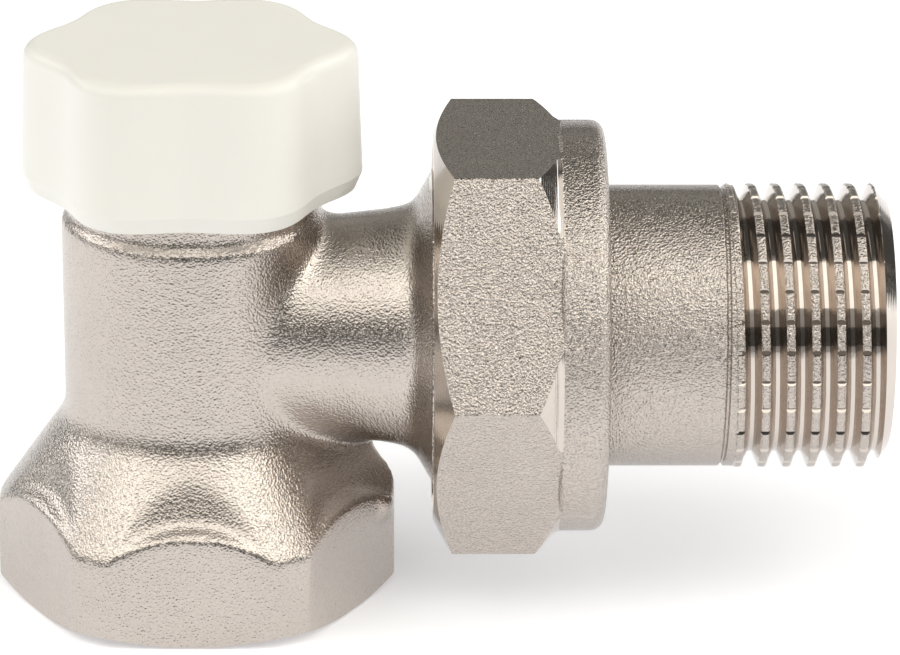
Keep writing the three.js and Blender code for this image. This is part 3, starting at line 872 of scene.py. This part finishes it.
def build_nut(context):
    s = context.scene.valve_union_sizes
    radius, start, end = lying("union_nut")
    flats, collar = s.nut_flats / MM, s.collar_radius / MM
    corner = flats / math.sqrt(3)
    hex_end, collar_start = 25.5, 26.9
    piece = prism("union_nut", 6, flats, start - 1, end - 0.5, math.radians(1.6))
    bevel_edges(piece, lambda a, b: abs(a.z - b.z) > 1, offset=0.14, segments=3)
    shaping = turned(
        "nut_shaping",
        [
            (0, start), (flats / 2 - 0.35, start, 0.1), (corner + 0.3, start + 1.6),
            (corner + 0.3, hex_end - 1.0), (corner - 0.1, hex_end - 0.35, 0.7),
            (collar + 0.25, collar_start - 0.45, 0.5), (collar, collar_start, 0.3),
            (collar, end, 1.0), (0, end),
        ],
        160,
    )
    meet(piece, shaping)
    ring = turned(
        "nut_collar",
        [
            (0, hex_end + 0.9), (collar - 0.9, hex_end + 0.9),
            (collar, collar_start - 0.1, 0.5), (collar, end, 1.0), (0, end),
        ],
        160,
    )
    join(piece, ring)
    flange = lying("union_tail")[0]
    room, neck_hole = flange + 0.4, 10.72
    bore = [(0, 25.1), (room, 25.1), (room, 28, 0.3), (neck_hole, 28, 0.2)]
    bore += [(neck_hole, end - 0.5), (11.3, end + 0.5), (0, end + 0.5)]
    cut_turned(piece, "nut_bore", bore)
    before, behind = start - 0.5, start + 1.6
    mouth = [(0, before), (14.1, before), (12, behind), (0, behind)]
    cut_turned(piece, "nut_mouth", mouth)
    cut_female_thread(piece, UNION_THREAD, UNION_CREST, start - 1, FLANGE_FRONT)
    look = finishes()
    give_finish(piece, look["rough"])
    limit = UNION_THREAD["major"] + 0.25

    def machined(middle, normal):
        here = math.hypot(middle.x, middle.y)
        bored = here < limit and middle.z < 28.1 or here < 11.0
        front_cone = middle.z < start + 1.55 and normal.z < -0.3
        back_cone = middle.z > hex_end - 1.2 and here > collar + 0.1 and normal.z > 0.2
        return bored or front_cone or back_cone

    finish_faces(piece, look["nickel_x"], machined)
    return lay_along_branch(piece)


def crest_cutters(count, depth, start, end):
    """Fine grooves along the tail's thread, one tool for them all."""
    radius = HALF_INCH["major"]
    first = drawn(
        "notch",
        [
            (radius - depth, 0, start), (radius + 0.3, -0.5, start),
            (radius + 0.3, 0.5, start), (radius - depth, 0, start),
        ],
        closed=True,
    )
    edit_all()
    bpy.ops.mesh.edge_face_add()
    bpy.ops.mesh.extrude_region_move(TRANSFORM_OT_translate={"value": (0, 0, end - start)})
    clean(first)
    notches = [first]
    for k in range(1, count):
        notches.append(copied(first, "notch", TURN * k / count))
    pick(first)
    for notch in notches:
        notch.select_set(True)
    bpy.ops.object.join()
    return first


def build_tail(context):
    s = context.scene.valve_union_sizes
    flange, tip, end = lying("union_tail")
    radius, bore = s.tail_radius / MM, s.tail_bore / MM
    minor = HALF_INCH["minor"]
    spigot, groove_floor, groove = 7.6, 6.75, tip + 1.1
    piece = turned(
        "union_tail",
        [
            (0, tip), (spigot, tip, 0.4), (spigot, groove, 0.06), (groove_floor, groove, 0.2),
            (groove_floor, groove + 1.4, 0.2), (spigot, groove + 1.4, 0.06),
            (spigot, FLANGE_FRONT, 0.2), (flange, FLANGE_FRONT, 0.3),
            (flange, FLANGE_BACK, 0.3), (radius, FLANGE_BACK, 0.2), (radius, 38.65, 0.12),
            (radius - 0.22, 38.8), (radius - 0.22, 38.95), (radius, 39.05, 0.05),
            (radius, 39.75, 0.08), (minor, 40.2), (minor, 41), (0, 41),
        ],
        160,
    )
    crest = 41.1 + HALF_INCH["pitch"] / 2
    thread = male_thread("tail_thread", HALF_INCH, crest, 39, end, 128)
    if s.crest_notches:
        cut(thread, crest_cutters(s.crest_notches, 0.2, 38.9, end + 1))
    join(piece, thread)
    through = [(0, tip - 1), (6.3, tip - 0.5), (5.8, tip + 0.3), (5.8, FLANGE_BACK)]
    through += [(bore, 29.7, 0.5), (bore, end - 0.5), (bore + 0.6, end + 0.3), (0, end + 0.3)]
    cut_turned(piece, "tail_bore", through)
    look = finishes()
    give_finish(piece, look["rough"])
    crest_radius = HALF_INCH["major"] - 0.05

    def machined(middle, normal):
        here = math.hypot(middle.x, middle.y)
        if here < bore + 0.7 or middle.z < 28:
            return True
        if middle.z > end - 0.02:
            return True
        return middle.z > 39.7 and here < crest_radius

    finish_faces(piece, look["nickel_x"], machined)
    return lay_along_branch(piece)


# ---- cap ----------------------------------------------------------------------------------


def cap_ring(s, inset, height, points=144):
    """The cap's outline, lobed all round, as points at a height."""
    ring = []
    for k in range(points + 1):
        angle = TURN * k / points
        radius = s.mean_radius / MM - inset + s.lobe_depth / MM * math.cos(s.lobes * angle)
        ring.append((radius * math.cos(angle), radius * math.sin(angle), height))
    return ring


def build_cap(context):
    s = context.scene.valve_cap_sizes
    _, bottom, top = upright("protective_cap")
    foot, edge = s.foot / MM, s.edge / MM
    foot_inset, draft, corner_steps = 0.45, 0.25, 8
    piece = drawn("protective_cap", cap_ring(s, foot_inset, bottom), closed=True)
    middle = (0, 0, bottom)
    full = s.mean_radius / MM
    edit_all()
    bpy.ops.mesh.edge_face_add()
    height = bottom
    radius = full - foot_inset
    stages = [
        (bottom + foot, full),
        (bottom + foot + 0.12, full + 0.02),
        (top - edge, full - draft),
    ]
    for k in range(1, corner_steps + 1):
        angle = math.pi / 2 * k / corner_steps
        inset = edge * (1 - math.cos(angle))
        stages.append((top - edge + edge * math.sin(angle), full - draft - inset))
    for level, wanted in stages:
        step = (0, 0, level - height)
        bpy.ops.mesh.extrude_region_move(TRANSFORM_OT_translate={"value": step})
        factor = wanted / radius
        bpy.ops.transform.resize(value=(factor, factor, 1), center_override=middle)
        height, radius = level, wanted
    clean(piece)
    hollow = [(0, bottom - 1), (9.7, bottom - 1), (9.7, bottom), (9.4, bottom + 0.3)]
    hollow += [(9.4, CAP_CREST, 0.3), (6.9, CAP_CREST), (6.9, 40, 0.6), (0, 40)]
    cut_turned(piece, "cap_hollow", hollow)
    cut_female_thread(piece, CAP_THREAD, CAP_CREST, 33.6, 38.9)
    return piece


# ---- inside the barrel --------------------------------------------------------------------


def build_bonnet(context):
    radius, bottom, top = upright("bonnet")
    piece = turned(
        "bonnet",
        [
            (0, bottom), (7.1, bottom, 0.3), (7.1, 26.6), (7.7, 26.6, 0.2), (7.7, 28.5, 0.05),
            (6.7, 28.5, 0.2), (6.7, 29.9, 0.2), (7.7, 29.9, 0.05), (7.7, 31.5),
            (radius, 31.5, 0.25), (radius, 32.8, 0.25), (7.1, 32.8, 0.2), (7.1, 33.5),
            (6.6, 33.5), (6.6, top - 0.3), (0, top - 0.3),
        ],
    )
    join(piece, male_thread("cap_thread", CAP_THREAD, CAP_CREST, 33.3, top))
    gland = [(0, 31.8), (5.4, 31.8, 0.2), (5.4, top - 0.4), (5.9, top + 0.2), (0, top + 0.2)]
    cut_turned(piece, "gland_bore", gland)
    cut_female_thread(piece, SPINDLE_THREAD, STEM_CREST, bottom - 1, 32, steps=72)
    return piece


def build_spindle(context):
    _, foot, top = upright("spindle")
    piece = turned(
        "spindle",
        [
            (0, foot), (3.1, foot, 0.3), (3.1, 19.7, 0.2), (2.1, 19.7, 0.2), (2.1, 22.9),
            (3.4, 22.9), (3.4, 28.4), (3.9, 28.4, 0.1), (3.9, top, 0.4), (0, top),
        ],
        96,
    )
    join(piece, male_thread("stem_thread", SPINDLE_THREAD, STEM_CREST, STEM_CREST, 28.6, 72))
    key = prism("key_hole", 6, 5, top - 5, top + 1, math.pi / 6)
    cut(piece, key)
    lead = [(0, top - 0.5), (2.6, top - 0.5), (3.1, top + 0.1), (0, top + 0.1)]
    cut_turned(piece, "key_lead", lead, 96)
    drill = [(0, top - 6), (2.3, top - 5), (2.3, top - 4), (0, top - 4)]
    cut_turned(piece, "key_drill", drill, 96)
    return piece


def washer_ring(node, inner, rounding=0.12):
    """A flat ring as wide and as thick as its CAD node."""
    outer, bottom, top = upright(node)
    return turned(
        node,
        [
            (inner, (bottom + top) / 2), (inner, bottom, rounding), (outer, bottom, rounding),
            (outer, top, rounding), (inner, top, rounding), (inner, (bottom + top) / 2),
        ],
        96,
    )


def build_gland_nut(context):
    piece = washer_ring("gland_nut", STEM_HOLE)
    _, _, top = upright("gland_nut")
    cut(piece, block("slot", (-6, -0.6, top - 1), (6, 0.6, top + 1)))
    return piece


def ring_seal(node, along_branch=False):
    """An O-ring with the fine flash line that its mould leaves."""
    outer, low, high = lying(node) if along_branch else upright(node)
    section = (high - low) / 2
    radius = outer - section
    middle = (low + high) / 2
    flash = 0.03
    sides = 32
    outline = []
    for k in range(sides + 1):
        angle = TURN * k / sides
        reach = section - (0 if k % (sides // 2) == 0 else flash)
        outline.append((radius + reach * math.cos(angle), middle + reach * math.sin(angle)))
    piece = turned(node, outline, 96)
    return lay_along_branch(piece) if along_branch else piece


def build_disc_holder(context):
    radius, bottom, top = upright("disc_holder")
    piece = turned(
        "disc_holder",
        [
            (0, 16.7), (6.5, 16.7), (6.5, bottom, 0.1), (radius, bottom, 0.2),
            (radius, 18, 0.4), (5, 18, 0.4), (5, top, 0.3), (0, top),
        ],
        96,
    )
    socket = [(0, 18.3), (3.5, 18.3), (3.5, top - 0.2), (3.8, top + 0.2), (0, top + 0.2)]
    cut_turned(piece, "socket", socket, 96)
    cut_turned(piece, "ring_groove", [(0, 19.8), (4.05, 19.8), (4.05, 20.9), (0, 20.9)], 96)
    cut_turned(piece, "screw_hole", [(0, 16), (1.7, 16), (1.7, 17.4), (0, 17.6)], 64)
    return piece


def build_snap_ring(context):
    piece = washer_ring("disc_snap_ring", 2.5, 0.15)
    _, bottom, top = upright("disc_snap_ring")
    cut(piece, block("ring_gap", (0, -0.7, bottom - 1), (6, 0.7, top + 1)))
    return piece


def build_seat_washer(context):
    outer, bottom, top = upright("seat_washer")
    return turned(
        "seat_washer",
        [
            (1.8, top - 0.5), (1.8, bottom, 0.15), (5.1, bottom, 0.1),
            (5.3, bottom + 0.1, 0.1), (6.0, bottom + 0.1, 0.1), (outer, bottom + 0.25, 0.2),
            (outer, top, 0.2), (1.8, top, 0.15), (1.8, top - 0.5),
        ],
        96,
    )


def build_washer_screw(context):
    radius, bottom, top = upright("washer_screw")
    piece = turned(
        "washer_screw",
        [
            (0, bottom), (1.6, bottom + 0.05, 0.6), (radius - 0.1, bottom + 0.5, 0.4),
            (radius, bottom + 1.3, 0.1), (1.5, bottom + 1.3, 0.1), (1.5, top - 0.3),
            (1.2, top), (0, top),
        ],
        96,
    )
    cut(piece, block("driver_slot", (-4, -0.4, bottom - 1), (4, 0.4, bottom + 0.7)))
    return piece


# ---- operators ----------------------------------------------------------------------------


class ValveBody(bpy.types.Operator):
    """Forge and machine the valve body"""

    bl_idname = "valve.body"
    bl_label = "Valve body"

    def execute(self, context):
        hand_over(build_body(context), "valve", "valve_body", edge=32)
        return {"FINISHED"}


class ValveUnionNut(bpy.types.Operator):
    """Make the union nut"""

    bl_idname = "valve.union_nut"
    bl_label = "Union nut"

    def execute(self, context):
        hand_over(build_nut(context), "nut", "union_nut", edge=32)
        return {"FINISHED"}


class ValveUnionTail(bpy.types.Operator):
    """Make the threaded tail of the union"""

    bl_idname = "valve.union_tail"
    bl_label = "Union tail"

    def execute(self, context):
        hand_over(build_tail(context), "tail", "union_tail", edge=28)
        return {"FINISHED"}


class ValveCap(bpy.types.Operator):
    """Mould the lobed screw cap"""

    bl_idname = "valve.cap"
    bl_label = "Protective cap"

    def execute(self, context):
        plastic = finishes()["plastic"]
        hand_over(build_cap(context), "cap", "protective_cap", plastic)
        return {"FINISHED"}


class ValveBonnet(bpy.types.Operator):
    """Turn the bonnet that carries the spindle and the cap"""

    bl_idname = "valve.bonnet"
    bl_label = "Bonnet"

    def execute(self, context):
        hand_over(build_bonnet(context), "valve", "bonnet", finishes()["brass_z"])
        return {"FINISHED"}


class ValveSpindle(bpy.types.Operator):
    """Turn the spindle with its thread and key socket"""

    bl_idname = "valve.spindle"
    bl_label = "Spindle"

    def execute(self, context):
        hand_over(build_spindle(context), "spindle", "spindle", finishes()["brass_z"])
        return {"FINISHED"}


class ValveGland(bpy.types.Operator):
    """Make the gland nut, its washer and the spacer between the spindle's seals"""

    bl_idname = "valve.gland"
    bl_label = "Gland"

    def execute(self, context):
        look = finishes()
        hand_over(build_gland_nut(context), "valve", "gland_nut", look["brass_z"])
        washer = washer_ring("gland_washer", STEM_HOLE)
        hand_over(washer, "valve", "gland_washer", look["brass_z"])
        spacer = washer_ring("seal_spacer", STEM_HOLE)
        white = look["fluoropolymer"]
        hand_over(spacer, "valve", "seal_spacer", white)
        return {"FINISHED"}


class ValveSeals(bpy.types.Operator):
    """Mould the O-rings and the flat ring in the cap"""

    bl_idname = "valve.seals"
    bl_label = "Seals"

    def execute(self, context):
        black = finishes()["rubber"]
        for node in ("bonnet_seal", "spindle_seal_lower", "spindle_seal_upper"):
            hand_over(ring_seal(node), "valve", node, black, edge=60)
        tail_ring = ring_seal("tail_seal", along_branch=True)
        hand_over(tail_ring, "tail", "tail_seal", black, edge=60)
        cap_ring_seal = washer_ring("cap_seal", 8.25, 0.3)
        hand_over(cap_ring_seal, "cap_gasket", "cap_seal", black)
        return {"FINISHED"}


class ValveDisc(bpy.types.Operator):
    """Make the closing disc: holder, snap ring, rubber washer and its screw"""

    bl_idname = "valve.disc"
    bl_label = "Closing disc"

    def execute(self, context):
        look = finishes()
        for build, node, slot, finish in (
            (build_disc_holder, "disc_holder", "raw_brass", "brass_z"),
            (build_snap_ring, "disc_snap_ring", "spring_steel", "steel"),
            (build_seat_washer, "seat_washer", "black_rubber", "rubber"),
            (build_washer_screw, "washer_screw", "spring_steel", "steel"),
        ):
            hand_over(build(context), "disc", node, look[finish])
        return {"FINISHED"}


WARM = (1, 0.975, 0.91)
STUDIO_LIGHTS = (  # name, place, width, height, watts, tint
    ("front_high", (0.02, -0.42, 0.93), 3.0, 0.54, 9, WARM),
    ("front_middle", (0.02, -0.74, 0.69), 3.0, 0.28, 4.4, WARM),
    ("front_low", (0.02, -0.90, 0.46), 3.0, 0.28, 0.8, WARM),
    ("left_box", (-1.05, 0, 0.82), 1.5, 1.5, 4, WARM),
    ("right_box", (1.05, 0, 0.82), 1.5, 1.5, 7.5, WARM),
    ("back_box", (0.02, 1.3, 0.6), 2.4, 1.1, 2.5, (1, 0.97, 0.88)),
)
CAMERA_PLACE = (0.01331, -0.34403, 0.14991)
CAMERA_DOWN = 20.716  # degrees below level
CAMERA_LENS = 198.88  # millimetres, on a sensor 36 wide
CAMERA_SHIFT = 0.084


def area_light(name, place, aim, width, height, watts, tint):
    deselect()
    bpy.ops.object.light_add(type="AREA", location=place)
    lamp = bpy.context.object
    lamp.name = name
    lamp.data.shape = "RECTANGLE"
    lamp.data.size = width
    lamp.data.size_y = height
    lamp.data.energy = watts
    lamp.data.color = tint
    direction = Vector(aim) - Vector(place)
    lamp.rotation_euler = direction.to_track_quat("-Z", "Y").to_euler()


class ValveStage(bpy.types.Operator):
    """Set the floor, the studio lights and the camera"""

    bl_idname = "valve.stage"
    bl_label = "Stage"

    def execute(self, context):
        scene = context.scene
        deselect()
        bpy.ops.mesh.primitive_plane_add(size=6, location=(0, 0, -0.0002))
        floor = bpy.context.object
        floor.name = "studio_floor"
        floor.data.materials.append(floor_with_painted_front_shade(tuple(scene.valve_finishes.floor)))
        aim = (0.02, 0, 0.02)
        for name, place, width, height, watts, tint in STUDIO_LIGHTS:
            area_light(name, place, aim, width, height, watts, tint)
        for name, side in (("left_wash", -1.0), ("right_wash", 1.0)):
            area_light(name, (side, 0.5, 0.5), (side, 0.5, 0), 0.7, 0.9, 5, (1, 1, 1))
        world = bpy.data.worlds.new("studio")
        world.use_nodes = True
        background = world.node_tree.nodes["Background"]
        background.inputs["Color"].default_value = (0.94, 0.93, 0.88, 1)
        background.inputs["Strength"].default_value = 0.08
        scene.world = world
        scene.view_settings.view_transform = "Standard"
        deselect()
        bpy.ops.object.camera_add(
            location=CAMERA_PLACE,
            rotation=(math.radians(90 - CAMERA_DOWN), 0, 0),
        )
        camera = bpy.context.object
        camera.data.sensor_width = 36
        camera.data.lens = CAMERA_LENS
        camera.data.shift_x = CAMERA_SHIFT
        camera.data.clip_start = 0.01
        scene.camera = camera
        return {"FINISHED"}


class ValvePanel(bpy.types.Panel):
    """The valve's pieces and sizes in the sidebar"""

    bl_idname = "VIEW3D_PT_valve"
    bl_label = "Lockshield valve"
    bl_space_type = "VIEW_3D"
    bl_region_type = "UI"
    bl_category = "Valve"

    def draw(self, context):
        layout = self.layout
        scene = context.scene
        for operator in OPERATORS:
            layout.operator(operator.bl_idname)
        groups = (
            scene.valve_body_sizes,
            scene.valve_union_sizes,
            scene.valve_cap_sizes,
            scene.valve_finishes,
        )
        for group in groups:
            box = layout.box()
            for name in group.bl_rna.properties.keys():
                if name not in ("name", "rna_type"):
                    box.prop(group, name)


OPERATORS = (
    ValveStage,
    ValveBody,
    ValveUnionNut,
    ValveUnionTail,
    ValveCap,
    ValveBonnet,
    ValveSpindle,
    ValveGland,
    ValveSeals,
    ValveDisc,
)
GROUPS = {
    "valve_body_sizes": ValveBodySizes,
    "valve_union_sizes": UnionSizes,
    "valve_cap_sizes": CapSizes,
    "valve_finishes": ValveFinishes,
}


def register():
    for name, group in GROUPS.items():
        bpy.utils.register_class(group)
        setattr(bpy.types.Scene, name, bpy.props.PointerProperty(type=group))
    for operator in OPERATORS:
        bpy.utils.register_class(operator)
    bpy.utils.register_class(ValvePanel)


def unregister():
    bpy.utils.unregister_class(ValvePanel)
    for operator in reversed(OPERATORS):
        bpy.utils.unregister_class(operator)
    for name, group in GROUPS.items():
        delattr(bpy.types.Scene, name)
        bpy.utils.unregister_class(group)


def main():
    register()
    for operator in OPERATORS:
        family, name = operator.bl_idname.split(".")
        getattr(getattr(bpy.ops, family), name)()


if __name__ == "__main__":
    main()
